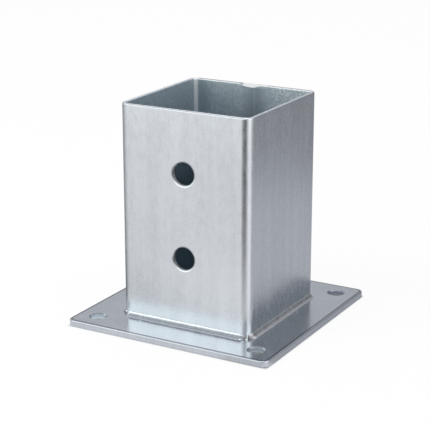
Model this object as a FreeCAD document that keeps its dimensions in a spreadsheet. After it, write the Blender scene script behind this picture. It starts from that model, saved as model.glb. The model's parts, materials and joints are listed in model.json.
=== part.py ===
"""Bolt-down timber post base: a square steel tube welded upright on a square base plate.

Frame: millimetres, +Z up, origin on the underside of the plate below the tube's axis.
The side walls with the cross-bolt holes face -Y (front) and +Y (back).
"""
import FreeCAD
import Part
import Sketcher
import math
import os

from FreeCAD import Placement, Rotation, Vector

# Driving dimensions: alias, value in millimetres, what it measures
DIMENSIONS = (
    ("total_height", 150.0, "underside of the plate to the rim of the tube"),
    ("plate_side", 150.0, "side of the square base plate"),
    ("plate_thickness", 4.5, "sheet the base plate is cut from"),
    ("plate_corner_radius", 5.0, "plate corners seen from above"),
    ("plate_edge_radius", 0.9, "rounding of the plate's upper edge"),
    ("plate_edge_bevel", 0.5, "bevel of the plate's lower edge"),
    ("bolt_hole_diameter", 10.5, "holes for the ground anchors"),
    ("bolt_hole_inset", 15.0, "plate edge to the centre of a ground anchor hole"),
    ("drain_hole_diameter", 10.5, "hole in the plate below the post"),
    ("plate_hole_bevel", 0.9, "bevel where a plate hole meets either face"),
    ("socket_inside", 91.0, "clear width of the tube across its inside faces"),
    ("tube_wall", 2.5, "wall of the square tube"),
    ("tube_corner_radius", 6.0, "outside corners of the square tube"),
    ("rim_radius", 0.9, "rounding of the rim's inner and outer edge"),
    ("side_hole_diameter", 15.5, "holes for the bolts across the post"),
    ("side_hole_low", 51.5, "underside of the plate to the lower side hole's centre"),
    ("side_hole_spacing", 57.0, "lower to upper side hole, centre to centre"),
    ("side_hole_mouth", 1.1, "edge drawn in by the punch, outwards from a side hole's wall"),
    ("side_hole_mouth_depth", 0.45, "edge drawn in by the punch, below the tube's outside"),
    ("side_hole_bevel", 0.4, "bevel where a side hole meets the tube's inside"),
    ("seam_width", 4.0, "flash of the tube's own lengthwise seam, across"),
    ("seam_height", 0.35, "flash of the tube's own lengthwise seam, proud of the wall"),
    ("scoop_width", 19.5, "hand-ground dip at the seam's upper end, along the wall"),
    ("scoop_depth", 2.3, "hand-ground dip, down the inside face"),
    ("scoop_across", 1.7, "hand-ground dip, across the rim"),
    ("scoop_shift", 2.0, "middle of the dip to the middle of the seam"),
    ("weld_leg", 3.8, "fillet weld, toe to root along the wall and along the plate"),
    ("weld_hollow", 0.45, "middle of the bead's face below the straight line from toe to toe"),
    ("weld_end_length", 3.2, "stretch over which the bead runs out at either end"),
    ("weld_end_drop", 1.3, "fall of the bead's face where it runs out"),
    ("weld_ripple_pitch", 3.4, "one ripple of the bead to the next"),
    ("weld_ripple_height", 0.15, "lip of one ripple proud of the bead's face"),
)

# Sizes that follow from the driving ones
TUBE_OUTER = "(Sizes.socket_inside + 2 * Sizes.tube_wall)"
TUBE_LENGTH = "(Sizes.total_height - Sizes.plate_thickness)"
SOCKET_CORNER_RADIUS = "(Sizes.tube_corner_radius - Sizes.tube_wall)"
SCOOP_RADIUS = "((Sizes.scoop_width ^ 2 / 4 + Sizes.scoop_depth ^ 2) / (2 * Sizes.scoop_depth))"

# The bead's hollow face is part of a cylinder whose centre line lies out in the open, as far from the
# wall as above the plate
FACE_RADIUS = "((Sizes.weld_leg ^ 2 / 2 + Sizes.weld_hollow ^ 2) / (2 * Sizes.weld_hollow))"
FACE_OFFSET = f"(Sizes.weld_leg / 2 + ({FACE_RADIUS} - Sizes.weld_hollow) / sqrt(2))"
# Each bead ends where the diagonal crosses the tube's rounded corner
CORNER_GAP = "((1 - sqrt(0.5)) * Sizes.tube_corner_radius)"
BEAD_HALF = f"({TUBE_OUTER} / 2 - {CORNER_GAP})"
# Ripples lie along the tube's flat face alone
RIPPLE_COUNT = f"floor(({TUBE_OUTER} - 2 * Sizes.tube_corner_radius) / Sizes.weld_ripple_pitch)"
RIPPLE_ROOT = "(Sizes.weld_leg / 6)"

# Weld beads in turning order round the tube: node and quarter turns from the front
WELDS = (("weld_front", 0), ("weld_right", 1), ("weld_back", 2), ("weld_left", 3))

TOLERANCE = 1e-4
UP = Vector(0, 0, 1)


def make_sheet(doc):
    """Spreadsheet of the driving dimensions, one named cell each."""
    sheet = doc.addObject("Spreadsheet::Sheet", "Sizes")
    for row, (alias, value, meaning) in enumerate(DIMENSIONS, start=1):
        sheet.set(f"A{row}", alias)
        sheet.set(f"B{row}", str(value))
        sheet.set(f"C{row}", meaning)
        sheet.setAlias(f"B{row}", alias)
    doc.recompute()
    return sheet


def add_body(doc, label):
    """Empty body that carries one piece of the post base."""
    body = doc.addObject("PartDesign::Body", label)
    body.Label = label
    return body


def bind(obj, **expressions):
    """Tie properties to the sheet; a double underscore in a name stands for a dot."""
    for name, expression in expressions.items():
        obj.setExpression(name.replace("__", "."), expression)


def add_sketch(body, name, plane, **offset):
    """Sketch on one of the body's own planes, moved by expressions along its axes."""
    sketch = body.newObject("Sketcher::SketchObject", name)
    support = next(item for item in body.Origin.OriginFeatures if item.Role == plane)
    sketch.AttachmentSupport = [(support, "")]
    sketch.MapMode = "FlatFace"
    for axis, expression in offset.items():
        sketch.setExpression(f"AttachmentOffset.Base.{axis}", expression)
    return sketch


def worth(sketch, expression):
    """Present value of an expression, for a sketch's starting shape."""
    return float(sketch.evalExpression(expression))


def dimension(sketch, name, expression, kind, *where):
    """Named constraint whose value is an expression."""
    index = sketch.addConstraint(Sketcher.Constraint(kind, *where, worth(sketch, expression)))
    sketch.renameConstraint(index, name)
    sketch.setExpression(f"Constraints.{name}", expression)


def constrain(sketch, kind, *where):
    """Constraint without a value."""
    sketch.addConstraint(Sketcher.Constraint(kind, *where))


def draw_line(sketch, start, end):
    return sketch.addGeometry(Part.LineSegment(Vector(*start), Vector(*end)), False)


def draw_arc(sketch, centre, radius, first_deg, last_deg):
    circle = Part.Circle(Vector(*centre), UP, radius)
    arc = Part.ArcOfCircle(circle, math.radians(first_deg), math.radians(last_deg))
    return sketch.addGeometry(arc, False)


def draw_rounded_square(sketch, name, side, corner_radius):
    """Square with rounded corners about the sketch's origin."""
    half = worth(sketch, side) / 2
    radius = worth(sketch, corner_radius)
    flat = half - radius
    lines, arcs = [], []
    for quarter in range(4):
        turn = Rotation(UP, 90 * quarter)
        ends = [turn.multVec(Vector(x, -half)) for x in (-flat, flat)]
        centre = turn.multVec(Vector(flat, -flat))
        lines.append(draw_line(sketch, *ends))
        arcs.append(draw_arc(sketch, centre, radius, 90 * quarter - 90, 90 * quarter))
    for quarter in range(4):
        constrain(sketch, "Tangent", lines[quarter], 2, arcs[quarter], 1)
        constrain(sketch, "Tangent", arcs[quarter], 2, lines[(quarter + 1) % 4], 1)
        constrain(sketch, "Vertical" if quarter % 2 else "Horizontal", lines[quarter])
    for arc in arcs[1:]:
        constrain(sketch, "Equal", arcs[0], arc)
    constrain(sketch, "Symmetric", arcs[0], 3, arcs[2], 3, -1, 1)
    dimension(sketch, f"{name}_radius", corner_radius, "Radius", arcs[0])
    dimension(sketch, f"{name}_width", side, "DistanceX", lines[3], 1, lines[1], 1)
    dimension(sketch, f"{name}_depth", side, "DistanceY", lines[0], 1, lines[2], 1)


def draw_circle(sketch, name, diameter, across=None, up=None):
    """Circle at a distance from the sketch's axes; no distance puts it on the axis."""
    start = Vector(worth(sketch, across) if across else 0, worth(sketch, up) if up else 0)
    circle = sketch.addGeometry(Part.Circle(start, UP, worth(sketch, diameter) / 2), False)
    dimension(sketch, f"{name}_diameter", diameter, "Diameter", circle)
    for axis, kind, expression in ((-2, "DistanceX", across), (-1, "DistanceY", up)):
        if expression:
            dimension(sketch, f"{name}_{kind}", expression, kind, -1, 1, circle, 3)
        else:
            constrain(sketch, "PointOnObject", circle, 3, axis)
    return circle


def draw_rectangle(sketch, left, right, bottom, top):
    """Rectangle whose four sides are placed by expressions from the sketch's origin."""
    x0, x1, y0, y1 = (worth(sketch, side) for side in (left, right, bottom, top))
    corners = ((x0, y0), (x1, y0), (x1, y1), (x0, y1))
    sides = [draw_line(sketch, corners[i], corners[(i + 1) % 4]) for i in range(4)]
    for i in range(4):
        constrain(sketch, "Coincident", sides[i], 2, sides[(i + 1) % 4], 1)
        constrain(sketch, "Vertical" if i % 2 else "Horizontal", sides[i])
    dimension(sketch, "left", left, "DistanceX", -1, 1, sides[0], 1)
    dimension(sketch, "right", right, "DistanceX", -1, 1, sides[1], 1)
    dimension(sketch, "bottom", bottom, "DistanceY", -1, 1, sides[0], 1)
    dimension(sketch, "top", top, "DistanceY", -1, 1, sides[2], 1)


def add_feature(body, kind, name, profile=None, **properties):
    """Feature of the body, built at once so that the next one can read its edges."""
    feature = body.newObject(f"PartDesign::{kind}", name)
    if profile:
        feature.Profile = profile
        profile.Visibility = False
    for key, value in properties.items():
        if key in ("Length", "Radius", "Size"):
            feature.setExpression(key, value)
        else:
            setattr(feature, key, value)
    body.Document.recompute()
    return feature


def add_cut(body, kind, name, profile=None, **properties):
    """Feature that must take material away."""
    before = body.Shape.Volume
    feature = add_feature(body, kind, name, profile, **properties)
    if body.Shape.Volume > before - TOLERANCE:
        raise RuntimeError(f"{name} removes nothing")
    return feature


def dress_edges(body, kind, name, wanted, **size):
    """Fillet or Chamfer on every edge of the body's present shape that is wanted."""
    base = body.Tip
    edges = [f"Edge{i}" for i, edge in enumerate(base.Shape.Edges, start=1) if wanted(edge)]
    if not edges:
        raise RuntimeError(f"{name} finds no edge")
    return add_cut(body, kind, name, Base=(base, edges), **size)


def lies_level(edge, height):
    """True for an edge that runs at the height all along."""
    box = edge.BoundBox
    return box.ZLength < TOLERANCE and abs(box.ZMin - height) < TOLERANCE


def is_full_circle(edge, diameter):
    """True for a closed circular edge of the diameter."""
    return (isinstance(edge.Curve, Part.Circle) and edge.isClosed()
            and abs(2 * edge.Curve.Radius - diameter) < TOLERANCE)


def build_base_plate(doc, sheet):
    """Square plate with rounded edges, four anchor holes and a drain hole."""
    body = add_body(doc, "base_plate")

    outline = add_sketch(body, "plate_outline", "XY_Plane")
    draw_rounded_square(outline, "plate", "Sizes.plate_side", "Sizes.plate_corner_radius")
    add_feature(body, "Pad", "plate", outline, Length="Sizes.plate_thickness")
    dress_edges(body, "Fillet", "upper_edge", lambda edge: lies_level(edge, sheet.plate_thickness),
                Radius="Sizes.plate_edge_radius")
    dress_edges(body, "Chamfer", "lower_edge", lambda edge: lies_level(edge, 0),
                Size="Sizes.plate_edge_bevel")

    spacing = "(Sizes.plate_side - 2 * Sizes.bolt_hole_inset)"
    corner = add_sketch(body, "bolt_hole_centre", "XY_Plane", z="Sizes.plate_thickness")
    draw_circle(corner, "bolt_hole", "Sizes.bolt_hole_diameter",
                across=f"-{spacing} / 2", up=f"-{spacing} / 2")
    hole = add_cut(body, "Pocket", "bolt_hole", corner, Type="ThroughAll")
    pattern = add_feature(body, "LinearPattern", "bolt_holes", Originals=[hole])
    pattern.Direction = (corner, ["H_Axis"])
    pattern.Direction2 = (corner, ["V_Axis"])
    pattern.Mode = pattern.Mode2 = "Spacing"
    pattern.Occurrences = pattern.Occurrences2 = 2
    bind(pattern, Offset=spacing, Offset2=spacing)
    body.Tip = pattern

    middle = add_sketch(body, "drain_hole_centre", "XY_Plane", z="Sizes.plate_thickness")
    draw_circle(middle, "drain_hole", "Sizes.drain_hole_diameter")
    add_cut(body, "Pocket", "drain_hole", middle, Type="ThroughAll")
    dress_edges(body, "Chamfer", "hole_rims",
                lambda edge: is_full_circle(edge, sheet.bolt_hole_diameter)
                or is_full_circle(edge, sheet.drain_hole_diameter),
                Size="Sizes.plate_hole_bevel")
    return body


def build_post_socket(doc, sheet):
    """Square tube with its seam, a rounded rim and two bolt holes through front and back."""
    body = add_body(doc, "post_socket")
    bind(body, Placement__Base__z="Sizes.plate_thickness")

    section = add_sketch(body, "tube_section", "XY_Plane")
    draw_rounded_square(section, "outside", TUBE_OUTER, "Sizes.tube_corner_radius")
    draw_rounded_square(section, "inside", "Sizes.socket_inside", SOCKET_CORNER_RADIUS)
    add_feature(body, "Pad", "tube", section, Length=TUBE_LENGTH)
    rim = sheet.total_height - sheet.plate_thickness
    dress_edges(body, "Fillet", "rim_edges", lambda edge: lies_level(edge, rim),
                Radius="Sizes.rim_radius")

    add_seam(body)
    add_ground_scoop(body)

    punch = add_sketch(body, "side_hole_profile", "YZ_Plane",
                       y="Sizes.side_hole_low - Sizes.plate_thickness")
    draw_punch_profile(punch)
    hole = add_cut(body, "Groove", "side_hole", punch, ReferenceAxis=(punch, ["H_Axis"]), Angle=360.0)
    pattern = add_feature(body, "LinearPattern", "side_holes", Originals=[hole])
    pattern.Direction = (punch, ["V_Axis"])
    pattern.Mode = "Spacing"
    pattern.Occurrences = 2
    bind(pattern, Offset="Sizes.side_hole_spacing")
    body.Tip = pattern
    doc.recompute()
    inside_face = sheet.socket_inside / 2
    dress_edges(body, "Chamfer", "side_hole_inner_rims",
                lambda edge: is_full_circle(edge, sheet.side_hole_diameter)
                and abs(abs(edge.Curve.Center.y) - inside_face) < TOLERANCE,
                Size="Sizes.side_hole_bevel")
    return body


def draw_punch_profile(sketch):
    """Half section of a hole through both walls, widened where it leaves the tube's outside."""
    radius = "(Sizes.side_hole_diameter / 2)"
    neck = f"({TUBE_OUTER} / 2 - Sizes.side_hole_mouth_depth)"
    half = worth(sketch, neck)
    depth = worth(sketch, "Sizes.side_hole_mouth_depth")
    low = worth(sketch, radius)
    high = low + 2 * worth(sketch, "Sizes.side_hole_mouth")
    far = half + 2 * depth
    places = ((-far, 0), (far, 0), (far, high), (half, low), (-half, low), (-far, high))
    lines = [draw_line(sketch, places[i], places[(i + 1) % 6]) for i in range(6)]
    for i in range(6):
        constrain(sketch, "Coincident", lines[i], 2, lines[(i + 1) % 6], 1)
    base, right, _, wall, _, left = lines
    constrain(sketch, "PointOnObject", base, 1, -1)
    constrain(sketch, "Symmetric", base, 1, base, 2, -2)
    constrain(sketch, "Symmetric", wall, 1, wall, 2, -2)
    constrain(sketch, "Vertical", right)
    constrain(sketch, "Vertical", left)
    constrain(sketch, "Equal", left, right)
    dimension(sketch, "neck_length", f"2 * {neck}", "DistanceX", wall, 2, wall, 1)
    dimension(sketch, "mouth_reach", "2 * Sizes.side_hole_mouth_depth", "DistanceX", wall, 1, right, 1)
    dimension(sketch, "hole_radius", radius, "DistanceY", -1, 1, wall, 1)
    dimension(sketch, "mouth_height", "2 * Sizes.side_hole_mouth", "DistanceY", wall, 1, right, 2)


def add_seam(body):
    """Low flash that the tube's lengthwise seam leaves on the inside of the back wall."""
    wall = "(Sizes.socket_inside / 2)"
    foot = "(Sizes.tube_wall / 4)"
    crest = "((Sizes.seam_width ^ 2 / 4 + Sizes.seam_height ^ 2) / (2 * Sizes.seam_height))"
    sketch = add_sketch(body, "seam_section", "XY_Plane")
    half = worth(sketch, "Sizes.seam_width") / 2
    face = worth(sketch, wall)
    depth = face + worth(sketch, foot)
    radius = worth(sketch, crest)
    centre = face - worth(sketch, "Sizes.seam_height") + radius
    spread = math.degrees(math.asin(half / radius))
    arc = draw_arc(sketch, (0, centre), radius, 270 - spread, 270 + spread)
    right = draw_line(sketch, (half, face), (half, depth))
    root = draw_line(sketch, (half, depth), (-half, depth))
    left = draw_line(sketch, (-half, depth), (-half, face))
    for first, first_end, second, second_end in (
            (arc, 2, right, 1), (right, 2, root, 1), (root, 2, left, 1), (left, 2, arc, 1)):
        constrain(sketch, "Coincident", first, first_end, second, second_end)
    constrain(sketch, "Vertical", right)
    constrain(sketch, "Vertical", left)
    constrain(sketch, "Symmetric", arc, 1, arc, 2, -2)
    constrain(sketch, "Horizontal", root)
    dimension(sketch, "seam_width", "Sizes.seam_width", "DistanceX", arc, 1, arc, 2)
    dimension(sketch, "crest_radius", crest, "Radius", arc)
    dimension(sketch, "wall_face", wall, "DistanceY", -1, 1, arc, 1)
    dimension(sketch, "foot_depth", foot, "DistanceY", right, 1, right, 2)
    length = f"{TUBE_LENGTH} - Sizes.rim_radius"
    add_feature(body, "Pad", "seam", sketch, Length=length)


def add_ground_scoop(body):
    """Shallow conical dip ground into the rim's inner edge over the seam."""
    cone = body.newObject("PartDesign::SubtractiveCone", "ground_scoop")
    support = next(item for item in body.Origin.OriginFeatures if item.Role == "XZ_Plane")
    cone.AttachmentSupport = [(support, "")]
    cone.MapMode = "FlatFace"
    slope = "(Sizes.scoop_depth / Sizes.scoop_across)"
    run_in = "(2 * Sizes.seam_height)"
    before = body.Shape.Volume
    bind(cone,
         Radius1=f"{SCOOP_RADIUS} - Sizes.scoop_depth",
         Radius2=f"{SCOOP_RADIUS} + {slope} * {run_in}",
         Height=f"Sizes.scoop_across + {run_in}",
         AttachmentOffset__Base__x="-Sizes.scoop_shift",
         AttachmentOffset__Base__y=f"{TUBE_LENGTH} + {SCOOP_RADIUS} - Sizes.scoop_depth",
         AttachmentOffset__Base__z="-(Sizes.socket_inside / 2 + Sizes.scoop_across)")
    body.Document.recompute()
    if body.Shape.Volume > before - TOLERANCE:
        raise RuntimeError("ground_scoop removes nothing")


def draw_face_cutter(sketch):
    """Half section of the round cutter that hollows the bead's face and runs it out at both ends."""
    half = worth(sketch, BEAD_HALF)
    inner = half - worth(sketch, "Sizes.weld_end_length")
    face = -worth(sketch, FACE_RADIUS)
    low = face - worth(sketch, "Sizes.weld_end_drop")
    places = ((-half, 0), (half, 0), (half, low), (inner, face), (-inner, face), (-half, low))
    lines = [draw_line(sketch, places[i], places[(i + 1) % 6]) for i in range(6)]
    for i in range(6):
        constrain(sketch, "Coincident", lines[i], 2, lines[(i + 1) % 6], 1)
    base, right, _, middle, _, left = lines
    constrain(sketch, "PointOnObject", base, 1, -1)
    constrain(sketch, "Symmetric", base, 1, base, 2, -2)
    constrain(sketch, "Symmetric", middle, 1, middle, 2, -2)
    constrain(sketch, "Vertical", right)
    constrain(sketch, "Vertical", left)
    constrain(sketch, "Equal", left, right)
    dimension(sketch, "bead_length", f"2 * {BEAD_HALF}", "DistanceX", base, 1, base, 2)
    dimension(sketch, "end_length", "Sizes.weld_end_length", "DistanceX", middle, 1, right, 1)
    dimension(sketch, "face_radius", FACE_RADIUS, "DistanceY", middle, 1, -1, 1)
    dimension(sketch, "end_drop", "Sizes.weld_end_drop", "DistanceY", right, 2, middle, 1)


def draw_ripple_profile(sketch):
    """One ripple: a scale that rises along the bead to a lip, rooted below the bead's face."""
    first_place = f"-{RIPPLE_COUNT} / 2 * Sizes.weld_ripple_pitch"
    start = worth(sketch, first_place)
    end = start + worth(sketch, "Sizes.weld_ripple_pitch")
    face = -worth(sketch, FACE_RADIUS)
    root = face - worth(sketch, RIPPLE_ROOT)
    lip = face + worth(sketch, "Sizes.weld_ripple_height")
    base = draw_line(sketch, (start, root), (end, root))
    step = draw_line(sketch, (end, root), (end, lip))
    back = draw_line(sketch, (end, lip), (start, face))
    heel = draw_line(sketch, (start, face), (start, root))
    for first, second in ((base, step), (step, back), (back, heel), (heel, base)):
        constrain(sketch, "Coincident", first, 2, second, 1)
    constrain(sketch, "Horizontal", base)
    constrain(sketch, "Vertical", step)
    constrain(sketch, "Vertical", heel)
    dimension(sketch, "place", first_place, "DistanceX", -1, 1, base, 1)
    dimension(sketch, "ripple_pitch", "Sizes.weld_ripple_pitch", "DistanceX", base, 1, base, 2)
    dimension(sketch, "face_radius", FACE_RADIUS, "DistanceY", heel, 1, -1, 1)
    dimension(sketch, "ripple_root", RIPPLE_ROOT, "DistanceY", heel, 2, heel, 1)
    dimension(sketch, "lip", "Sizes.weld_ripple_height", "DistanceY", heel, 1, step, 2)


def build_weld(doc, label, quarters):
    """Hollow fillet weld on one side of the tube's foot; its origin is the centre line of its face."""
    body = add_body(doc, label)
    body.Placement = Placement(Vector(), Rotation(UP, 90 * quarters))
    outward = Rotation(UP, 90 * quarters).multVec(Vector(0, -1, 0))
    stand_off = f"({TUBE_OUTER} / 2 + {FACE_OFFSET})"
    bind(body,
         Placement__Base__x=f"{round(outward.x)} * {stand_off}",
         Placement__Base__y=f"{round(outward.y)} * {stand_off}",
         Placement__Base__z=f"Sizes.plate_thickness + {FACE_OFFSET}")

    section = add_sketch(body, f"{label}_section", "YZ_Plane")
    draw_rectangle(section, left=f"{FACE_OFFSET} - Sizes.weld_leg",
                   right=f"{FACE_OFFSET} + 2 * {CORNER_GAP}",
                   bottom=f"-{FACE_OFFSET}", top=f"Sizes.weld_leg - {FACE_OFFSET}")
    add_feature(body, "Pad", f"{label}_bar", section, Midplane=True, Length=f"2 * {BEAD_HALF}")
    cutter = add_sketch(body, f"{label}_face_cutter", "XZ_Plane")
    draw_face_cutter(cutter)
    turn = {"ReferenceAxis": (cutter, ["H_Axis"]), "Angle": 90.0}
    add_cut(body, "Groove", f"{label}_face", cutter, **turn)

    ripple_sketch = add_sketch(body, f"{label}_ripple_profile", "XZ_Plane")
    draw_ripple_profile(ripple_sketch)
    turn["ReferenceAxis"] = (ripple_sketch, ["H_Axis"])
    ripple = add_feature(body, "Revolution", f"{label}_ripple", ripple_sketch, **turn)
    pattern = add_feature(body, "LinearPattern", f"{label}_ripples", Originals=[ripple])
    pattern.Direction = (ripple_sketch, ["H_Axis"])
    pattern.Mode = "Spacing"
    bind(pattern, Offset="Sizes.weld_ripple_pitch", Occurrences=RIPPLE_COUNT)
    body.Tip = pattern
    doc.recompute()

    trim_weld(body, label)
    return body


def trim_weld(body, label):
    """Cut the bead flush with the plate's top and with the tube's outside."""
    reach = f"(2 * {FACE_RADIUS})"
    below = add_sketch(body, f"{label}_plate_side", "XY_Plane", z=f"-{FACE_OFFSET}")
    draw_rectangle(below, left=f"-{BEAD_HALF} - {reach}", right=f"{BEAD_HALF} + {reach}",
                   bottom=f"-{reach}", top=reach)
    add_cut(body, "Pocket", f"{label}_on_plate", below, Type="ThroughAll")

    behind = add_sketch(body, f"{label}_tube_side", "XY_Plane",
                        y=f"{TUBE_OUTER} / 2 + {FACE_OFFSET}", z=f"-{FACE_OFFSET}")
    draw_rounded_square(behind, "tube", TUBE_OUTER, "Sizes.tube_corner_radius")
    add_cut(body, "Pocket", f"{label}_on_tube", behind, Reversed=True, Type="ThroughAll")


def check_document(doc, bodies):
    """Stop when a feature failed or a piece is not one sound solid."""
    for obj in doc.Objects:
        if "Invalid" in obj.State or "Error" in obj.State:
            raise RuntimeError(f"{obj.Name} did not build: {obj.State}")
    for body in bodies:
        shape = body.Shape
        if shape.isNull() or not shape.isValid() or len(shape.Solids) != 1:
            raise RuntimeError(f"{body.Label} is not one valid solid")


def main():
    doc = FreeCAD.newDocument("timber_post_base")
    sheet = make_sheet(doc)
    bodies = [build_base_plate(doc, sheet), build_post_socket(doc, sheet)]
    bodies += [build_weld(doc, label, quarters) for label, quarters in WELDS]
    doc.recompute()
    check_document(doc, bodies)

    os.makedirs("parts", exist_ok=True)
    for body in bodies:
        body.Shape.exportStep(os.path.join("parts", f"{body.Label}.step"))
        box = body.Shape.BoundBox
        print(f"{body.Label}: {body.Shape.Volume:.1f} mm3, z {box.ZMin:.2f} to {box.ZMax:.2f}")


main()
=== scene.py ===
"""Looks of the timber post base: zinc finish, weld beads, studio light and camera."""
import json
import math

import bpy
from mathutils import Matrix, Vector, noise


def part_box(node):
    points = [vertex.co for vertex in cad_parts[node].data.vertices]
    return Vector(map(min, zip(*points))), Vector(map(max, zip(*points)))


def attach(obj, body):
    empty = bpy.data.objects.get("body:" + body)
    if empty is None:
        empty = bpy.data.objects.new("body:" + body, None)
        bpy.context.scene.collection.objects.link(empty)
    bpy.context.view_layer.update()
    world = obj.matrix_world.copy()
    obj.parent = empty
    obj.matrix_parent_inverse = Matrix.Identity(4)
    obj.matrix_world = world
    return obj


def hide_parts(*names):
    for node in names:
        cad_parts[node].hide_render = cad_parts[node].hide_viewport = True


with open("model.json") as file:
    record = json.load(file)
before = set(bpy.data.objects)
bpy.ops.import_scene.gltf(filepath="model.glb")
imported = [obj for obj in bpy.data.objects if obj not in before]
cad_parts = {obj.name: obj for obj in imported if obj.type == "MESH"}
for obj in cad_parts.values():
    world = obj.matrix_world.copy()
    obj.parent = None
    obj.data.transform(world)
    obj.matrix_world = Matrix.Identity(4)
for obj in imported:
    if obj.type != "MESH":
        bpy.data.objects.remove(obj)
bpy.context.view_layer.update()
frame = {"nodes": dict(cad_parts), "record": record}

MM = 0.001

# Places worked out from the frame: its boxes and the mounts of its record
PLATE_LOW, PLATE_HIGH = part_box("base_plate")
TUBE_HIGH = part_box("post_socket")[1]
PLATE_HALF = PLATE_HIGH.x
PLATE_TOP = PLATE_HIGH.z
TUBE_HALF = TUBE_HIGH.x
RIM_TOP = TUBE_HIGH.z
MOUNTS = {mount["name"]: mount for mount in frame["record"]["mounts"]}
SIDE_HOLES = (MOUNTS["cross_bolt_lower"], MOUNTS["cross_bolt_upper"])
SIDE_HOLE_HEIGHTS = [hole["pos_m"][2] for hole in SIDE_HOLES]
SIDE_HOLE_RADIUS = SIDE_HOLES[0]["dims"]["r_mm"] * MM
PLATE_HOLE_RADIUS = MOUNTS["ground_anchors"]["dims"]["hole_r_mm"] * MM
PLATE_HOLE_PLACE = MOUNTS["ground_anchors"]["dims"]["spacing_x_mm"] / 2 * MM

# Sizes that the frame doesn't give, as in the part's source
TUBE_WALL = 2.5 * MM
TUBE_CORNER = 6.0 * MM
INNER_CORNER = TUBE_CORNER - TUBE_WALL
PLATE_CORNER = 5.0 * MM
PLATE_EDGE = 0.9 * MM
PLATE_HOLE_BEVEL = 0.9 * MM
SCOOP_HALF = 9.75 * MM
SCOOP_SHIFT = 2.0 * MM
SCOOP_FOOT = RIM_TOP - 2.3 * MM

# Camera, fitted to the edges of the tube and the plate in a picture of 430 x 430 pixels
CAMERA_PLACE = Vector((0.43807, -0.78376, 0.34454))
CAMERA_AZIMUTH = 0.5133
CAMERA_PITCH = 0.2982
CAMERA_CLIP = (0.05, 50.0)
FOCAL_PIXELS = 1393.6
PICTURE_PIXELS = 430
SENSOR_WIDTH = 36.0

# Lamp, floor and surroundings. Diffuse light comes from the lamp and from the world at WORLD_LIGHT.
KEY_PLACE = Vector((-0.7, -0.9, 1.1))
KEY_SIZE = 0.9
KEY_ENERGY = 6.0
WORLD_LIGHT = 0.75
FLOOR_SIZE = 12.0
FLOOR_GLOW = 1.03
FLOOR_GLOW_SHARE = 0.86
FLOOR_GAP = 0.1 * MM
WHITE = (1.0, 1.0, 1.0, 1)
FLOOR_GREY = (0.9, 0.9, 0.9, 1)

# Fillet welds with a hollow face, which is part of a cylinder whose axis lies out in the open
BEAD_LEG = 3.1 * MM
BEAD_HOLLOW = 0.38 * MM
BEAD_SHORT = 0.3 * MM
BEAD_END_LENGTH = 4.0 * MM
BEAD_END_DROP = 1.5 * MM
BEAD_END_POWER = 1.6
BEAD_STEP = 0.2 * MM
BEAD_ACROSS = 18
FACE_RADIUS = (BEAD_LEG ** 2 / 2 + BEAD_HOLLOW ** 2) / (2 * BEAD_HOLLOW)
FACE_OFFSET = BEAD_LEG / 2 + (FACE_RADIUS - BEAD_HOLLOW) / math.sqrt(2)
# Ripples of the face, bowed in the middle, and unevenness of two kinds, slow and quick. Rates are per metre,
# and seeds tell the kinds and the four sides apart.
RIPPLE_HEIGHT = 0.05 * MM
RIPPLE_PITCH = 1.3 * MM
RIPPLE_BOW = 0.8 * MM
RIPPLE_SHIFT = 0.3
WANDER = 0.10 * MM
WANDER_RATE = 110
WANDER_SEED = 0.3
WAVER = 0.05 * MM
WAVER_RATE = 420
WAVER_SEED = 4.1
SIDE_SEED = 10.0
# How brownish each bead is: front, right, back, left. The same number also sets its painted light: the higher
# it is, the less painted shade on its face and the brighter its painted toe highlights
TINGE_AND_PAINTED_LIGHT = (0.12, 0.85, 0.6, 0.6)
# Spatter of each bead, given as for the front one: place in millimetres from the middle of the wall's foot,
# and radius
SPATTER = (
    (((-45.4, 0.9, 2.2), 0.9), ((47.1, -0.8, 0.5), 0.75), ((-31.0, -5.0, 0.1), 0.3)),
    (((12.0, -5.4, 0.1), 0.3),),
    (((46.2, 0.2, 1.0), 0.8), ((-20.0, -5.2, 0.1), 0.35)),
    (((-46.1, 0.2, 1.1), 0.8), ((8.0, -5.0, 0.1), 0.3)),
)
DROP_RINGS = 8
DROP_SIDES = 14
DROP_ENDING = -1.0

# Finish of the metal. Nearly all values of a noise lie in NOISE_SPAN.
NOISE_SPAN = (0.3, 0.7)
RELIEF_DEPTH = 0.02 * MM
TUBE_RELIEF = 0.07
PLATE_RELIEF = 0.12
BORE_ROUGHNESS = 0.75
GROUND_METALLIC = 0.1

# Colours of the tube
OUTSIDE_DARK = (0.598, 0.614, 0.665, 1)
OUTSIDE_BRIGHT = (0.678, 0.695, 0.742, 1)
INSIDE_DARK = (0.54, 0.615, 0.665, 1)
INSIDE_BRIGHT = (0.76, 0.81, 0.87, 1)
# Painted shade that darkens the tube's inside deep down
INSIDE_DEEP_SHADE = (0.36, 0.46, 0.51, 1)
# Painted glints on the spangle inside, on the right where light falls
SPECKLE_GLINT = (0.92, 0.97, 1.0, 1)
# Painted shade in the back left inner corner
NOOK_SHADE = (0.30, 0.37, 0.41, 1)
# Painted highlight along the bend of the inner corners
BEND_HIGHLIGHT = (0.97, 0.98, 1.0, 1)
# Painted highlight on the rim
RIM_HIGHLIGHT = (0.75, 0.74, 0.745, 1)
# Painted highlight on the back rim's inner rounding, and painted shade on its outer part
BACK_RIM_GLINT = (0.96, 0.94, 0.94, 1)
BACK_RIM_SHADE = (0.40, 0.39, 0.41, 1)
# Painted shade round the side holes' outer edges
SIDE_HOLE_EDGE_SHADE = (0.22, 0.23, 0.25, 1)
SIDE_BORE = (0.39, 0.375, 0.385, 1)
GROUND = (0.95, 0.95, 0.96, 1)
# Painted shade along the inner seam below the ground dip
SEAM_SHADE = (0.33, 0.39, 0.43, 1)

# Colours of the plate
SHEET_DARK = (0.59, 0.61, 0.66, 1)
SHEET_BRIGHT = (0.66, 0.68, 0.72, 1)
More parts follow.
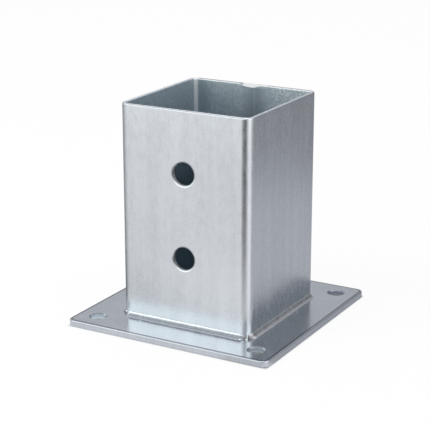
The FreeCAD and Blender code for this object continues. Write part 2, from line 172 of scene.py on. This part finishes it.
# Painted shade along the plate's rounded upper edge
TOP_EDGE_SHADE = (0.22, 0.21, 0.24, 1)
# Dull sheared sides, also used as painted shade along their foot
SHEARED_DULL_AND_SHADE = (0.37, 0.36, 0.465, 1)
# Painted shade on the anchor holes' bevels
ANCHOR_BEVEL_SHADE = (0.40, 0.41, 0.44, 1)
ANCHOR_WALL = (0.56, 0.64, 0.735, 1)
# Painted highlight at the foot of the anchor holes' walls
ANCHOR_WALL_FOOT_HIGHLIGHT = (0.71, 0.78, 0.86, 1)

# Colours of the welds
BEAD_DARK = (0.585, 0.615, 0.65, 1)
BEAD_BRIGHT = (0.655, 0.685, 0.72, 1)
BEAD_SHADE = (0.33, 0.40, 0.44, 1)
BEAD_WARM = (0.645, 0.61, 0.64, 1)
BEAD_BROWN = (0.40, 0.30, 0.33, 1)
# Painted highlight along the bead's upper toe
WALL_TOE_HIGHLIGHT = (0.97, 0.92, 0.95, 1)
# Painted highlight along the bead's lower toe
PLATE_TOE_HIGHLIGHT = (0.90, 0.95, 1.0, 1)
# Painted shade at the bead's ends
RUN_OUT_SHADE = (0.22, 0.20, 0.21, 1)
# Painted glint on the spatter drops
SPATTER_GLINT = (0.92, 0.92, 0.93, 1)

# Light tent: a sphere cut off by the floor, with its lower part laid flat on it
TENT_RADIUS = 0.9
TENT_SEGMENTS = 64
TENT_RINGS = 48
TENT_GAP = 0.2 * MM
TENT_GREENISH = (0.92, 1.0, 0.935, 1)
TENT_BLUISH = (0.965, 1.0, 1.04, 1)
TENT_COOL = (0.87, 1.0, 1.03, 1)
# Brightness that white on a colour ramp stands for
FULL_LEVEL = 3.2
# Brightness of the tent by azimuth in degrees round the tube's front right corner: 0 in front, 90 on the
# right, -90 on the left, 180 behind. Each zone of the tent has its own list.
UNDER_PLATE = ((-180, 0.26), (-125, 0.30), (-100, 0.72), (-60, 0.72), (0, 0.42), (60, 0.42), (120, 0.26),
               (180, 0.26))
BESIDE_PLATE = ((-180, 0.35), (-100, 0.35), (-80, 1.0), (-18, 1.0), (-4, 0.84), (36, 0.84), (44, 1.0),
                (54, 1.0), (64, 0.56), (180, 0.50))
FLOOR_NEAR = ((-180, 0.15), (-95, 0.15), (-75, 0.60), (-51, 0.96), (-29, 1.04), (-20, 0.96), (-8, 0.72),
              (32, 0.70), (48, 0.8), (62, 1.12), (92, 1.12), (110, 0.57), (180, 0.56))
FLOOR_MIDDLE = ((-180, 0.37), (-95, 0.37), (-71, 0.63), (-51, 0.84), (-29, 0.91), (-20, 0.86), (-8, 0.27),
                (32, 0.27), (50, 0.7), (66, 1.08), (90, 1.08), (110, 0.57), (150, 0.57), (180, 0.53))
FLOOR_FAR = ((-180, 0.32), (-95, 0.34), (-71, 0.58), (-51, 0.83), (-29, 0.935), (-23, 0.86), (-12, 0.06),
             (27, 0.03), (46, 0.6), (64, 1.02), (85, 1.02), (104, 0.43), (150, 0.32), (180, 0.31))
WALL_LOW = ((-180, 0.46), (-150, 0.57), (-115, 0.50), (-80, 0.85), (-50, 1.72), (-29, 1.88), (-12, 1.76),
            (4, 0.8), (14, 0.24), (34, 0.24), (50, 1.0), (60, 2.3), (98, 2.3), (116, 0.45), (150, 0.22),
            (180, 0.34))
WALL_HIGH = ((-180, 0.50), (-150, 0.56), (-104, 0.56), (-76, 1.6), (-60, 2.0), (-8, 2.0), (20, 1.3),
             (90, 1.2), (130, 0.4), (180, 0.4))
ROOF = ((-180, 0.7), (-162, 0.9), (-148, 2.1), (-136, 2.1), (-125, 0.58), (60, 0.58), (100, 0.9), (150, 0.8),
        (180, 0.7))
ZENITH = ((-180, 3.1), (180, 3.1))
# Zones after UNDER_PLATE: the measure, in metres, along which each takes over from the one before, where that
# begins and ends, and the brightness
TENT_ZONES = (
    ("reach", PLATE_HALF - 1 * MM, PLATE_HALF, BESIDE_PLATE),
    ("reach", 0.080, 0.096, FLOOR_NEAR),
    ("reach", 0.12, 0.24, FLOOR_MIDDLE),
    ("distance", 0.30, 0.56, FLOOR_FAR),
    ("height", 0.0, 0.11, WALL_LOW),
    ("height", 0.30, 0.42, WALL_HIGH),
    ("height", 0.50, 0.62, ROOF),
    ("height", 0.872, 0.89, ZENITH),
)


def add(tree, kind, inputs=(), **settings):
    """Shader node of the tree; each input is a plain value or the output socket of another node."""
    item = tree.nodes.new("ShaderNode" + kind)
    for key, value in settings.items():
        setattr(item, key, value)
    for key, value in dict(inputs).items():
        if isinstance(value, bpy.types.NodeSocket):
            tree.links.new(value, item.inputs[key])
        else:
            item.inputs[key].default_value = value
    return item


def compute(tree, operation, *values):
    """Output of a Math node over values and sockets."""
    return add(tree, "Math", enumerate(values), operation=operation).outputs[0]


def product(tree, first, *others):
    """Values and sockets multiplied."""
    for other in others:
        first = compute(tree, "MULTIPLY", first, other)
    return first


def total(tree, first, *others):
    """Values and sockets added up."""
    for other in others:
        first = compute(tree, "ADD", first, other)
    return first


def remap(tree, value, old, new=(0.0, 1.0), smooth=False):
    """Value taken from the range old to the range new, clamped."""
    inputs = {"Value": value, "From Min": old[0], "From Max": old[1], "To Min": new[0], "To Max": new[1]}
    kind = "SMOOTHSTEP" if smooth else "LINEAR"
    return add(tree, "MapRange", inputs, interpolation_type=kind).outputs["Result"]


def mix(tree, factor, first, second):
    """Number between first and second."""
    return add(tree, "Mix", {0: factor, 2: first, 3: second}).outputs[0]


def blend(tree, factor, first, second):
    """Colour between first and second."""
    return add(tree, "Mix", {0: factor, 6: first, 7: second}, data_type="RGBA").outputs[2]


def new_material(name):
    """Empty node material and its tree."""
    material = bpy.data.materials.new(name)
    material.use_nodes = True
    material.node_tree.nodes.clear()
    return material, material.node_tree


def object_place(tree):
    """The object's own place, which in this frame is the place in metres."""
    return add(tree, "TexCoord").outputs["Object"]


def along_axes(tree, vector):
    """The three parts of a vector."""
    return add(tree, "SeparateXYZ", {0: vector}).outputs


def place_noise(tree, scale, detail=3.0, rough=0.5, seed=0.0):
    """Noise over the object's own place, with a frequency per metre along each axis."""
    mapped = add(tree, "Mapping", {"Vector": object_place(tree), "Location": (seed,) * 3, "Scale": scale})
    inputs = {"Vector": mapped.outputs[0], "Scale": 1.0, "Detail": detail, "Roughness": rough}
    return add(tree, "TexNoise", inputs).outputs["Fac"]


def within(tree, value, low, high, soft):
    """One between low and high, falling to nothing over the soft margin outside."""
    rise = remap(tree, value, (low - soft, low), smooth=True)
    fall = remap(tree, value, (high, high + soft), (1.0, 0.0), smooth=True)
    return product(tree, rise, fall)


def length(tree, *parts):
    """Length of a vector given by its parts."""
    return compute(tree, "SQRT", total(tree, *(product(tree, part, part) for part in parts)))


def plane_distance(tree, first, second, from_first, from_second):
    """Distance in a plane from a place given by its two coordinates."""
    return length(tree, compute(tree, "SUBTRACT", first, from_first),
                  compute(tree, "SUBTRACT", second, from_second))


def square_reach(tree, axes):
    """Half the side of the upright square round the middle that a place lies on."""
    return compute(tree, "MAXIMUM", *(compute(tree, "ABSOLUTE", axes[i]) for i in range(2)))


def corner_distance(tree, axes, half, corner):
    """Distance from the straight core of a rounded square, which is its corner radius at the outline."""
    sides = [compute(tree, "ABSOLUTE", axes[i]) for i in range(2)]
    over = [compute(tree, "SUBTRACT", side, half - corner) for side in sides]
    return length(tree, *(compute(tree, "MAXIMUM", value, 0.0) for value in over))


def relief(tree, height, strength):
    """Normal of a surface with a little relief."""
    return add(tree, "Bump", {"Height": height, "Strength": strength, "Distance": RELIEF_DEPTH}).outputs[0]


def cover(tree, shader):
    """Make the shader the material's surface."""
    add(tree, "OutputMaterial", {"Surface": shader.outputs[0]})


def zinc_outside(tree, streaks, mottle, cloud):
    """Colour of the tube's outside: mottling, faint lengthwise streaks and soft bands."""
    bands = place_noise(tree, (120, 120, 7), detail=2, seed=5)
    weights = ((streaks, 0.25), (mottle, 0.6), (cloud, 0.4), (bands, 0.6))
    tone = total(tree, *(remap(tree, value, NOISE_SPAN, (-weight, weight)) for value, weight in weights))
    return blend(tree, remap(tree, tone, (-1.0, 1.0)), OUTSIDE_DARK, OUTSIDE_BRIGHT)


def zinc_inside(tree, axes, cloud, blotch):
    """Colour of the tube's inside: blotches, painted shade that turns it blue-grey deep down, and bright
    speckle on the right, painted as glints where light falls.
    """
    colour = blend(tree, remap(tree, blotch, (0.35, 0.7)), INSIDE_DARK, INSIDE_BRIGHT)
    # Painted shade: the inside turns darker and blue-grey deep down
    colour = blend(tree, remap(tree, axes[2], (60 * MM, 115 * MM), smooth=True), INSIDE_DEEP_SHADE, colour)
    # Spangle grains, painted as bright glints only on the right, where light falls inside
    grains = place_noise(tree, (640, 640, 640), rough=0.6, seed=41)
    ragged_place = total(tree, axes[0], product(tree, cloud, 30 * MM))
    speckled = remap(tree, ragged_place, (18 * MM, 30 * MM), smooth=True)
    bright = remap(tree, grains, (0.46, 0.60), smooth=True)
    return blend(tree, product(tree, speckled, bright), colour, SPECKLE_GLINT)


def tone_inner_corners(tree, axes, normal, from_core, on_back, colour):
    """Painted highlight as a bright line along the bend of each inner corner, and painted shade as a dark
    nook beside the one at the back left.
    """
    # Painted shade on the back wall beside the back left inner corner
    begun = remap(tree, axes[0], (-43.0 * MM, -42.2 * MM))
    fading = remap(tree, axes[0], (-40.0 * MM, -28.0 * MM), (0.5, 0.0), smooth=True)
    colour = blend(tree, product(tree, begun, fading, on_back), colour, NOOK_SHADE)
    # Painted highlight: a bright line along each inner corner's bend
    corner = within(tree, from_core, 0.35 * INNER_CORNER, INNER_CORNER, 0.4 * MM)
    turn = compute(tree, "ARCTAN2", *(compute(tree, "ABSOLUTE", normal[i]) for i in (1, 0)))
    rise = remap(tree, turn, (0.25, 0.8), smooth=True)
    fall = remap(tree, turn, (1.2, 1.35), (1.0, 0.0), smooth=True)
    return blend(tree, product(tree, corner, rise, fall), colour, BEND_HIGHLIGHT)


def tone_rim(tree, axes, colour):
    """Painted highlight that brightens the rim; at the back, painted shade on its outer part and a painted
    highlight on its inner rounding.
    """
    # Painted highlight on the rim's upper part
    upper = remap(tree, axes[2], (RIM_TOP - 0.9 * MM, RIM_TOP - 0.3 * MM), (0.0, 0.5), smooth=True)
    colour = blend(tree, upper, colour, RIM_HIGHLIGHT)
    # At the back: painted shade on the rim's outer part, painted highlight on its inner rounding
    behind = compute(tree, "GREATER_THAN", axes[1], TUBE_HALF - 1.05 * TUBE_WALL)
    upper = remap(tree, axes[2], (RIM_TOP - 0.85 * MM, RIM_TOP - 0.6 * MM), (0.0, 0.85), smooth=True)
    outer = compute(tree, "GREATER_THAN", axes[1], TUBE_HALF - 0.9 * TUBE_WALL)
    glint_and_shade = blend(tree, outer, BACK_RIM_GLINT, BACK_RIM_SHADE)
    return blend(tree, product(tree, behind, upper), colour, glint_and_shade)


def tone_side_holes(tree, axes, inside, colour):
    """Painted shade as a dark ring round each side hole's outer edge, and a dull bore. Gives the colour and
    where the bore is.
    """
    distances = (plane_distance(tree, axes[0], axes[2], 0.0, height) for height in SIDE_HOLE_HEIGHTS)
    from_hole = compute(tree, "MINIMUM", *distances)
    bore_edge = SIDE_HOLE_RADIUS + 0.06 * MM
    # Painted shade: a dark ring round each side hole's outer edge
    hole_edge_shade = within(tree, from_hole, bore_edge, SIDE_HOLE_RADIUS + 0.4 * MM, 0.15 * MM)
    outside = compute(tree, "SUBTRACT", 1.0, inside)
    colour = blend(tree, product(tree, hole_edge_shade, outside, 0.8), colour, SIDE_HOLE_EDGE_SHADE)
    bore = compute(tree, "LESS_THAN", from_hole, bore_edge)
    return blend(tree, bore, colour, SIDE_BORE), bore


def tone_ground_dip(tree, axes, normal, inside, on_back, colour):
    """Bright ground face of the dip, and painted shade along the seam below it. Gives the colour and where
    the ground face is.
    """
    from_scoop = compute(tree, "ABSOLUTE", compute(tree, "SUBTRACT", axes[0], SCOOP_SHIFT))
    beside = remap(tree, from_scoop, (SCOOP_HALF - 0.5 * MM, SCOOP_HALF), (1.0, 0.0))
    above = remap(tree, axes[2], (SCOOP_FOOT - 0.1 * MM, SCOOP_FOOT))
    behind = compute(tree, "GREATER_THAN", axes[1], TUBE_HALF - TUBE_WALL - 0.6 * MM)
    ground = product(tree, beside, above, behind, within(tree, normal[2], 0.3, 0.9, 0.1))
    colour = blend(tree, ground, colour, GROUND)
    # Painted shade along the seam below the dip, damping its bright line
    seam_shade_strength = remap(tree, from_scoop, (2 * MM, 12 * MM), (0.55, 0.0), smooth=True)
    below = compute(tree, "LESS_THAN", axes[2], SCOOP_FOOT)
    return blend(tree, product(tree, seam_shade_strength, on_back, inside, below), colour, SEAM_SHADE), ground


def make_tube_material():
    """Bright zinc on drawn tube: soft mottling and faint lengthwise streaks, duller and bluer inside, with
    painted light and shade inside, on the rim and round the side holes.
    """
    material, tree = new_material("zinc_on_tube")
    axes = along_axes(tree, object_place(tree))
    normal = along_axes(tree, add(tree, "NewGeometry").outputs["True Normal"])
    from_core = corner_distance(tree, axes, TUBE_HALF, TUBE_CORNER)
    inside = compute(tree, "LESS_THAN", from_core, TUBE_CORNER - TUBE_WALL / 2)
    on_back = compute(tree, "GREATER_THAN", axes[1], TUBE_HALF - 2 * TUBE_WALL)
    streaks = place_noise(tree, (700, 700, 12), detail=4, rough=0.6)
    mottle = place_noise(tree, (330, 330, 150), detail=2, rough=0.55, seed=7)
    cloud = place_noise(tree, (70, 70, 30), seed=9)
    blotch = place_noise(tree, (420, 420, 420), detail=5, rough=0.65, seed=3)

    inner = zinc_inside(tree, axes, cloud, blotch)
    inner = tone_inner_corners(tree, axes, normal, from_core, on_back, inner)
    colour = blend(tree, inside, zinc_outside(tree, streaks, mottle, cloud), inner)
    colour = tone_rim(tree, axes, colour)
    colour, bore = tone_side_holes(tree, axes, inside, colour)
    colour, ground = tone_ground_dip(tree, axes, normal, inside, on_back, colour)

    rough_outside = total(tree, remap(tree, cloud, NOISE_SPAN, (0.26, 0.30)),
                          remap(tree, mottle, NOISE_SPAN, (-0.03, 0.03)))
    rough_inside = remap(tree, blotch, NOISE_SPAN, (0.38, 0.50))
    roughness = mix(tree, bore, mix(tree, inside, rough_outside, rough_inside), BORE_ROUGHNESS)
    height = total(tree, product(tree, streaks, 0.35), product(tree, mottle, 0.65))
    cover(tree, add(tree, "BsdfPrincipled", {
        "Base Color": colour, "Metallic": mix(tree, ground, 1.0, GROUND_METALLIC), "Roughness": roughness,
        "Normal": relief(tree, height, TUBE_RELIEF)}))
    return material


def tone_sheared_edge(tree, axes, colour):
    """Painted shade as a dark line inside the plate's rounded upper edge, and dull, finely striated sides
    with painted shade along their foot.
    """
    from_core = corner_distance(tree, axes, PLATE_HALF, PLATE_CORNER)
    ring = PLATE_CORNER - PLATE_EDGE
    # Painted shade: a dark line inside the rounded upper edge
    line = within(tree, from_core, ring - 1.0 * MM, ring + 0.1 * MM, 0.25 * MM)
    top = compute(tree, "GREATER_THAN", axes[2], PLATE_TOP - 0.2 * MM)
    colour = blend(tree, product(tree, line, top, 0.9), colour, TOP_EDGE_SHADE)
    side = compute(tree, "GREATER_THAN", from_core, PLATE_CORNER - 0.15 * MM)
    # Dull sheared sides, darker towards the bottom, where shade is painted along the foot
    dull = remap(tree, axes[2], (0.4 * MM, 1.2 * MM), (0.8, 0.4), smooth=True)
    striation = remap(tree, place_noise(tree, (800, 800, 60), detail=2, seed=27), (0.35, 0.65), (0.7, 1.2))
    return blend(tree, product(tree, dull, striation, side), colour, SHEARED_DULL_AND_SHADE)


def tone_anchor_holes(tree, axes, colour):
    """Painted shade on the bevel round each anchor hole, and a bluish wall with a painted highlight at its
    foot.
    """
    sides = [compute(tree, "ABSOLUTE", axes[i]) for i in range(2)]
    from_hole = plane_distance(tree, *sides, PLATE_HOLE_PLACE, PLATE_HOLE_PLACE)
    bevel_end = PLATE_HOLE_RADIUS + PLATE_HOLE_BEVEL
    # Painted shade on the bevel round each anchor hole
    bevel = within(tree, from_hole, PLATE_HOLE_RADIUS + 0.05 * MM, bevel_end, 0.1 * MM)
    colour = blend(tree, product(tree, bevel, 0.7), colour, ANCHOR_BEVEL_SHADE)
    bore = compute(tree, "LESS_THAN", from_hole, PLATE_HOLE_RADIUS + 0.04 * MM)
    # Painted highlight: the hole wall brighter towards its foot
    foot = remap(tree, axes[2], (1.4 * MM, 2.0 * MM), (1.0, 0.0), smooth=True)
    return blend(tree, bore, colour, blend(tree, foot, ANCHOR_WALL, ANCHOR_WALL_FOOT_HIGHLIGHT))


def make_plate_material():
    """Bright zinc on flat sheet: even, a little glossier than the tube, duller along the sheared sides, with
    painted light and shade at the edges and round the anchor holes.
    """
    material, tree = new_material("zinc_on_plate")
    axes = along_axes(tree, object_place(tree))
    cloud = place_noise(tree, (45, 45, 45), detail=4, rough=0.55, seed=21)
    mottle = place_noise(tree, (260, 260, 260), detail=4, rough=0.6, seed=13)
    tone = total(tree, *(remap(tree, value, NOISE_SPAN, (0.0, 0.5)) for value in (cloud, mottle)))
    colour = blend(tree, tone, SHEET_DARK, SHEET_BRIGHT)
    colour = tone_sheared_edge(tree, axes, colour)
    colour = tone_anchor_holes(tree, axes, colour)
    roughness = total(tree, remap(tree, cloud, NOISE_SPAN, (0.19, 0.24)),
                      remap(tree, mottle, NOISE_SPAN, (-0.02, 0.02)))
    cover(tree, add(tree, "BsdfPrincipled", {
        "Base Color": colour, "Metallic": 1.0, "Roughness": roughness,
        "Normal": relief(tree, mottle, PLATE_RELIEF)}))
    return material


def make_weld_material():
    """Zinc over weld metal. The bead's face carries painted shade where the bead is little brownish, and is
    warm with brown dashes where it is brownish. Its toes carry painted highlights, its ends painted shade and
    its spatter a painted glint. The mesh says where these lie: across runs from the wall to the plate, ending
    is one at the bead's ends and negative on spatter, and a third value says how brownish the bead is."""
    material, tree = new_material("zinc_on_weld")
    cloud = place_noise(tree, (160, 160, 160), detail=4, rough=0.6, seed=31)
    across, ending, tinge_and_painted_light = (add(tree, "Attribute", attribute_name=name).outputs["Fac"]
                             for name in ("across", "ending", "tinge_and_painted_light"))
    colour = blend(tree, remap(tree, cloud, (0.35, 0.65)), BEAD_DARK, BEAD_BRIGHT)
    face = within(tree, across, 0.30, 0.72, 0.12)
    # Painted shade on the bead's face, strongest where the bead is least brownish
    colour = blend(tree, product(tree, face, mix(tree, tinge_and_painted_light, 0.36, 0.0)), colour, BEAD_SHADE)
    colour = blend(tree, product(tree, tinge_and_painted_light, tinge_and_painted_light), colour, BEAD_WARM)
    # Painted highlight along the upper toe, at the wall
    wall_toe_highlight = remap(tree, across, (0.10, 0.20), (1.0, 0.0), smooth=True)
    colour = blend(tree, product(tree, wall_toe_highlight, tinge_and_painted_light), colour, WALL_TOE_HIGHLIGHT)
    # Painted highlight along the lower toe, at the plate
    plate_toe_highlight = remap(tree, across, (0.78, 0.90), smooth=True)
    colour = blend(tree, product(tree, plate_toe_highlight, mix(tree, tinge_and_painted_light, 0.35, 0.2)), colour, PLATE_TOE_HIGHLIGHT)
    middle = within(tree, across, 0.36, 0.56, 0.10)
    dashes = remap(tree, place_noise(tree, (420, 420, 420), detail=2, seed=17), (0.45, 0.58), (0.1, 0.8))
    colour = blend(tree, product(tree, middle, dashes, tinge_and_painted_light), colour, BEAD_BROWN)
    # Painted shade at the bead's ends
    colour = blend(tree, remap(tree, ending, (0.35, 0.9), (0.0, 0.85), smooth=True), colour, RUN_OUT_SHADE)
    # Painted glint: the spatter drops made pale
    colour = blend(tree, compute(tree, "LESS_THAN", ending, DROP_ENDING / 2), colour, SPATTER_GLINT)
    roughness = remap(tree, cloud, NOISE_SPAN, (0.20, 0.30))
    cover(tree, add(tree, "BsdfPrincipled", {"Base Color": colour, "Metallic": 1.0, "Roughness": roughness}))
    return material


def dress(node, material):
    """Give a CAD node its material."""
    mesh = frame["nodes"][node].data
    mesh.materials.clear()
    mesh.materials.append(material)


def corner_recess(along):
    """How far the tube's rounded corner lies back from the wall's face at a place along the wall."""
    over = min(TUBE_CORNER, max(0.0, abs(along) - (TUBE_HALF - TUBE_CORNER)))
    return TUBE_CORNER - math.sqrt(TUBE_CORNER ** 2 - over ** 2)


def run_out_share(along, half):
    """Nothing along the bead, rising to one at its ends."""
    return max(0.0, 1 - (half - abs(along)) / BEAD_END_LENGTH)


def bead_section(along, half, seed):
    """Points of the bead's face from the wall down to the plate: out of the wall and up from the plate."""
    run_out = run_out_share(along, half)
    wander = noise.noise(Vector((along * WANDER_RATE, seed, WANDER_SEED)))
    waver = noise.noise(Vector((along * WAVER_RATE, seed, WAVER_SEED)))
    drop = BEAD_END_DROP * run_out ** BEAD_END_POWER + WANDER * wander + WAVER * waver
    recess = corner_recess(along)
    points = []
    for j in range(BEAD_ACROSS + 1):
        share = j / BEAD_ACROSS
        crown = 4 * share * (1 - share)
        phase = (along + RIPPLE_BOW * crown) / RIPPLE_PITCH + RIPPLE_SHIFT * wander
        radius = FACE_RADIUS + drop - RIPPLE_HEIGHT * (1 - phase % 1.0) * (1 - run_out)
        first = math.acos(min(1.0, (FACE_OFFSET + recess) / radius))
        last = math.asin(min(1.0, FACE_OFFSET / radius))
        angle = first + (last - first) * share
        points.append((FACE_OFFSET - radius * math.cos(angle), FACE_OFFSET - radius * math.sin(angle)))
    return points


def bead_faces(count):
    """Faces of a bead of count steps: its face strip by strip, its two hidden sides, and its two ends."""
    width = BEAD_ACROSS + 2
    faces = []
    for j in range(width):
        following = (j + 1) % width
        for i in range(count):
            start = i * width
            faces.append((start + j, start + following, start + width + following, start + width + j))
    for start, order in ((0, -1), (count * width, 1)):
        root = start + width - 1
        faces += [(root, *(start + j, start + j + 1)[::order]) for j in range(BEAD_ACROSS)]
    return faces


def add_drop(vertices, faces, centre, radius):
    """Small round drop of spatter, added to a bead's mesh."""
    top = len(vertices)
    vertices.append(centre + Vector((0, 0, radius)))
    for i in range(1, DROP_RINGS):
        polar = math.pi * i / DROP_RINGS
        for j in range(DROP_SIDES):
            turn = 2 * math.pi * j / DROP_SIDES
            sideways = math.sin(polar)
            direction = Vector((sideways * math.cos(turn), sideways * math.sin(turn), math.cos(polar)))
            vertices.append(centre + radius * direction)
    bottom = len(vertices)
    vertices.append(centre - Vector((0, 0, radius)))
    for j in range(DROP_SIDES):
        following = (j + 1) % DROP_SIDES
        faces.append((top, top + 1 + j, top + 1 + following))
        for i in range(DROP_RINGS - 2):
            ring = top + 1 + i * DROP_SIDES
            faces.append((ring + j, ring + DROP_SIDES + j, ring + DROP_SIDES + following, ring + following))
        faces.append((bottom, bottom - DROP_SIDES + following, bottom - DROP_SIDES + j))


def make_bead(node, quarter, material):
    """Detailed bead that stands for a weld node, on the side turned by quarters from the front."""
    low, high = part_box(node)
    side_length = max(high.x - low.x, high.y - low.y) - 2 * BEAD_SHORT
    half = side_length / 2
    count = int(side_length / BEAD_STEP)
    vertices, shares, endings = [], [], []
    for i in range(count + 1):
        along = -half + side_length * i / count
        root = (-corner_recess(along), 0.0)
        for j, (out, up) in enumerate(bead_section(along, half, SIDE_SEED * quarter) + [root]):
            vertices.append(Vector((along, -TUBE_HALF - out, PLATE_TOP + up)))
            shares.append(min(1.0, j / BEAD_ACROSS))
            endings.append(run_out_share(along, half))
    faces = bead_faces(count)
    flat_from, flat_to = BEAD_ACROSS * count, (BEAD_ACROSS + 2) * count
    for place, radius in SPATTER[quarter]:
        add_drop(vertices, faces, Vector(place) * MM + Vector((0, -TUBE_HALF, PLATE_TOP)), radius * MM)
    drop_points = len(vertices) - len(shares)
    shares += [0.0] * drop_points
    endings += [DROP_ENDING] * drop_points

    turn = Matrix.Rotation(math.radians(90 * quarter), 3, "Z")
    mesh = bpy.data.meshes.new(node + "_bead")
    mesh.from_pydata([tuple(turn @ vertex) for vertex in vertices], [], faces)
    tinges_and_painted_lights = [TINGE_AND_PAINTED_LIGHT[quarter]] * len(vertices)
    for name, values in (("across", shares), ("ending", endings), ("tinge_and_painted_light", tinges_and_painted_lights)):
        mesh.attributes.new(name, "FLOAT", "POINT").data.foreach_set("value", values)
    smooth = [not flat_from <= i < flat_to for i in range(len(faces))]
    mesh.polygons.foreach_set("use_smooth", smooth)
    mesh.materials.append(material)
    bead = bpy.data.objects.new(node + "_bead", mesh)
    bpy.context.scene.collection.objects.link(bead)
    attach(bead, "root")
    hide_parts(node)


def seen_ray(tree):
    """One for a ray from the camera, off gloss or through glass, and nothing for scattered light."""
    rays = add(tree, "LightPath").outputs
    sent_on = compute(tree, "MAXIMUM", rays["Is Glossy Ray"], rays["Is Transmission Ray"])
    return compute(tree, "MAXIMUM", rays["Is Camera Ray"], sent_on)


def make_floor():
    """Pale floor that shows the object's shadow and stays nearly white to the camera."""
    material, tree = new_material("pale_floor")
    axes = along_axes(tree, object_place(tree))
    open_floor = compute(tree, "GREATER_THAN", square_reach(tree, axes), PLATE_HALF)
    glowing = product(tree, seen_ray(tree), open_floor, FLOOR_GLOW_SHARE)
    white = add(tree, "Emission", {"Color": WHITE, "Strength": FLOOR_GLOW})
    lit = add(tree, "BsdfDiffuse", {"Color": FLOOR_GREY})
    cover(tree, add(tree, "MixShader", {0: glowing, 1: lit.outputs[0], 2: white.outputs[0]}))
    bpy.ops.mesh.primitive_plane_add(size=FLOOR_SIZE, location=(0, 0, PLATE_LOW.z - FLOOR_GAP))
    floor = bpy.context.object
    floor.name = "studio_floor"
    floor.data.materials.append(material)
    floor.visible_glossy = False


def level_by_azimuth(tree, share, levels):
    """Brightness looked up along a colour ramp that runs once round from behind."""
    ramp = add(tree, "ValToRGB", {"Fac": share})
    stops = ramp.color_ramp.elements
    while len(stops) > 1:
        stops.remove(stops[0])
    for i, (azimuth, level) in enumerate(levels):
        place = (azimuth + 180) / 360
        stop = stops.new(place) if i else stops[0]
        stop.position = place
        stop.color = (level / FULL_LEVEL,) * 3 + (1,)
    return product(tree, ramp.outputs[0], FULL_LEVEL)


def tent_level(tree, azimuth, measures):
    """Brightness of the tent, zone by zone from under the plate, out over the floor and up to the zenith."""
    share = remap(tree, azimuth, (-math.pi, math.pi))
    level = level_by_azimuth(tree, share, UNDER_PLATE)
    for measure, low, high, levels in TENT_ZONES:
        taken_over = remap(tree, measures[measure], (low, high), smooth=True)
        level = mix(tree, taken_over, level, level_by_azimuth(tree, share, levels))
    return level


def between_azimuths(tree, azimuth, low, high, soft):
    """One between two azimuths in degrees, falling to nothing over the soft margin outside."""
    return within(tree, azimuth, *(math.radians(angle) for angle in (low, high, soft)))


def tent_tint(tree, azimuth, measures):
    """Colour of the tent: greenish low in front, cool on the wall behind on the right, else bluish."""
    wall = within(tree, measures["height"], 0.1, 0.36, 0.1)
    near_floor = remap(tree, measures["reach"], (0.085, 0.16), (0.5, 0.0), smooth=True)
    greenish = blend(tree, compute(tree, "MAXIMUM", wall, near_floor), WHITE, TENT_GREENISH)
    behind = between_azimuths(tree, azimuth, 130, 180, 20)
    bluish = blend(tree, product(tree, behind, wall), TENT_BLUISH, TENT_COOL)
    front = between_azimuths(tree, azimuth, -70, 90, 30)
    low_front = product(tree, front, remap(tree, measures["height"], (0.40, 0.50), (1.0, 0.0)))
    return blend(tree, low_front, bluish, greenish)


def make_tent():
    """Light tent round the object, seen by gloss alone, with the brightness that the lists give it."""
    material, tree = new_material("tent_panels")
    axes = along_axes(tree, object_place(tree))
    across = compute(tree, "SUBTRACT", axes[0], TUBE_HALF)
    towards = compute(tree, "SUBTRACT", -TUBE_HALF, axes[1])
    azimuth = compute(tree, "ARCTAN2", across, towards)
    measures = {"reach": square_reach(tree, axes), "distance": length(tree, across, towards),
                "height": axes[2]}
    cover(tree, add(tree, "Emission", {
        "Color": tent_tint(tree, azimuth, measures), "Strength": tent_level(tree, azimuth, measures)}))
    material.cycles.emission_sampling = "NONE"

    bpy.ops.mesh.primitive_uv_sphere_add(segments=TENT_SEGMENTS, ring_count=TENT_RINGS, radius=TENT_RADIUS)
    tent = bpy.context.object
    tent.name = "studio_tent"
    for vertex in tent.data.vertices:
        vertex.co.z = max(vertex.co.z, PLATE_LOW.z - TENT_GAP)
    tent.data.materials.append(material)
    tent.visible_camera = False
    tent.visible_diffuse = False
    tent.visible_shadow = False
    tent.visible_transmission = False


def make_world():
    """White surroundings, dimmer to scattered light, so that a colour renders about as it is written."""
    world = bpy.data.worlds.new("white_studio")
    world.use_nodes = True
    tree = world.node_tree
    tree.nodes.clear()
    strength = mix(tree, seen_ray(tree), WORLD_LIGHT, 1.0)
    sky = add(tree, "Background", {"Color": WHITE, "Strength": strength})
    add(tree, "OutputWorld", {"Surface": sky.outputs[0]})
    bpy.context.scene.world = world


def make_key_light():
    """Large soft lamp at the front left."""
    data = bpy.data.lights.new("key_softbox", "AREA")
    data.shape = "SQUARE"
    data.size = KEY_SIZE
    data.energy = KEY_ENERGY
    lamp = bpy.data.objects.new("key_softbox", data)
    lamp.location = KEY_PLACE
    lamp.rotation_euler = (-KEY_PLACE).to_track_quat("-Z", "Y").to_euler()
    lamp.visible_glossy = False
    bpy.context.scene.collection.objects.link(lamp)


def make_camera():
    """Plain camera at the photograph's viewing angle."""
    data = bpy.data.cameras.new("camera")
    data.sensor_width = SENSOR_WIDTH
    data.lens = FOCAL_PIXELS / PICTURE_PIXELS * SENSOR_WIDTH
    data.clip_start, data.clip_end = CAMERA_CLIP
    camera = bpy.data.objects.new("camera", data)
    camera.location = CAMERA_PLACE
    camera.rotation_euler = (math.pi / 2 - CAMERA_PITCH, 0, CAMERA_AZIMUTH)
    bpy.context.scene.collection.objects.link(camera)
    bpy.context.scene.camera = camera


dress("base_plate", make_plate_material())
dress("post_socket", make_tube_material())
weld_material = make_weld_material()
for quarter, node in enumerate(("weld_front", "weld_right", "weld_back", "weld_left")):
    make_bead(node, quarter, weld_material)
make_floor()
make_tent()
make_world()
make_key_light()
make_camera()
bpy.context.scene.view_settings.view_transform = "Standard"
